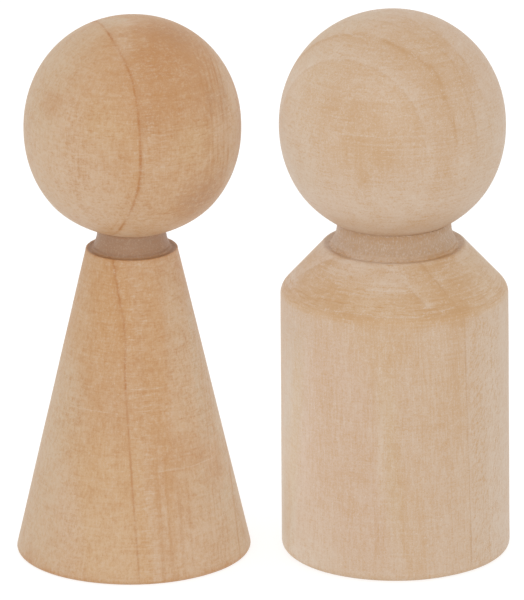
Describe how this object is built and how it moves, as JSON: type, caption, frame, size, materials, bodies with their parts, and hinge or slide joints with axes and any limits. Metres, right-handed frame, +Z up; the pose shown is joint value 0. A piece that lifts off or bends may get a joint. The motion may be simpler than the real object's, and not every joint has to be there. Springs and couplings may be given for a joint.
{
  "type": "peg doll",
  "caption": "Pair of plain turned wooden peg dolls, one with a cone body and one with a straight bevelled body, each with a ball head glued on a dowel.",
  "frame": {"origin": "on the ground, midway between the outer sides of the pair and on the line through both dolls' axes", "axes": "+Z up along the dolls' axes, +X from the cone doll to the straight doll, -Y towards the viewer"},
  "size_m": [0.0526, 0.025, 0.0588],
  "materials": {
    "cone_wood": "sanded, unfinished, warm tan",
    "straight_wood": "sanded, unfinished, pale beige",
    "dowel_wood": "fluted, unfinished"
  },
  "bodies": {
    "root": {"cone_doll_body": "cone_wood", "cone_doll_dowel": "dowel_wood", "cone_doll_head": "cone_wood", "straight_doll_body": "straight_wood", "straight_doll_dowel": "dowel_wood", "straight_doll_head": "straight_wood"}
  },
  "joints": []
}
